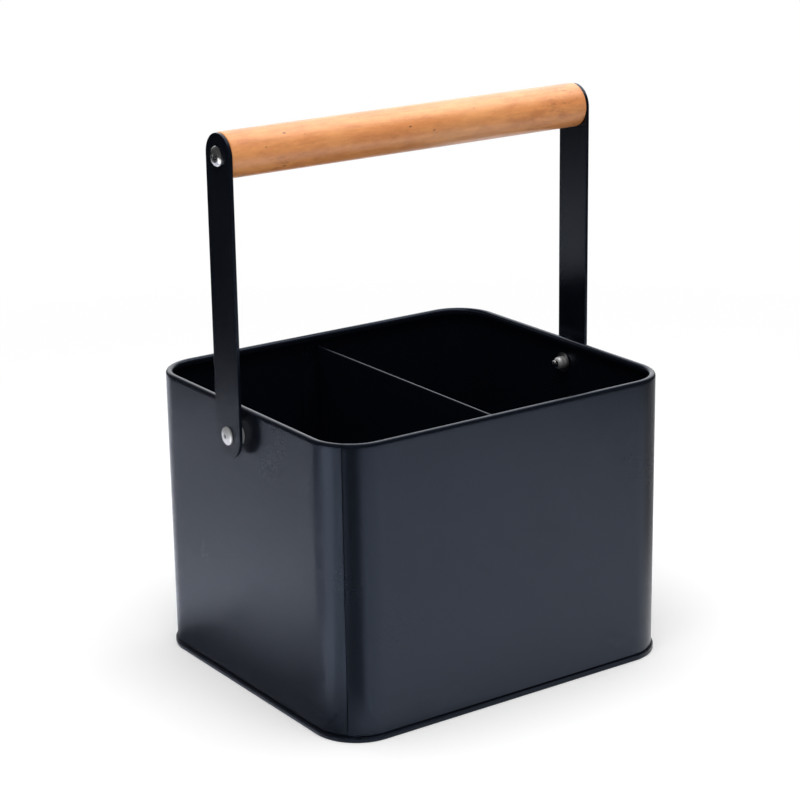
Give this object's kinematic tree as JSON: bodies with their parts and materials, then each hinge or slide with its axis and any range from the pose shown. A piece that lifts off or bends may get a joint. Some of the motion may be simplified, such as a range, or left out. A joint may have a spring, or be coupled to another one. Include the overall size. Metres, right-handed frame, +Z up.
{
  "type": "tool storage caddy",
  "caption": "Black sheet-steel tool caddy with rounded corners, a middle divider and a swinging bail handle with a wooden grip.",
  "frame": {"origin": "middle of the footprint, on the surface that the caddy stands on", "axes": "+X along the front face and the grip, +Y to the back, +Z up"},
  "size_m": [0.2496, 0.2022, 0.3231],
  "materials": {
    "black_coating": "satin black powder coat",
    "grip_wood": "clear-lacquered pale hardwood",
    "bright_fastener": "bright zinc-plated steel",
    "grey_zinc": "dull grey zinc-plated steel"
  },
  "bodies": {
    "caddy": {"body_wall": "black_coating", "base_pan": "black_coating", "divider": "black_coating", "left_pivot_rivet": "bright_fastener", "right_pivot_rivet": "bright_fastener", "left_rivet_mandrel": "bright_fastener", "right_rivet_mandrel": "bright_fastener", "left_pivot_spacer": "grey_zinc", "right_pivot_spacer": "grey_zinc", "left_backing_washer": "grey_zinc", "right_backing_washer": "grey_zinc"},
    "handle": {"handle_grip": "grip_wood", "left_handle_arm": "black_coating", "right_handle_arm": "black_coating", "left_grip_screw": "bright_fastener", "right_grip_screw": "bright_fastener"}
  },
  "joints": [
    {"name": "handle_swing", "type": "hinge", "parent": "caddy", "child": "handle", "pos_m": [0, 0, 0.154], "axis": [1, 0, 0], "range_deg": [-133.5, 133.5]}
  ]
}
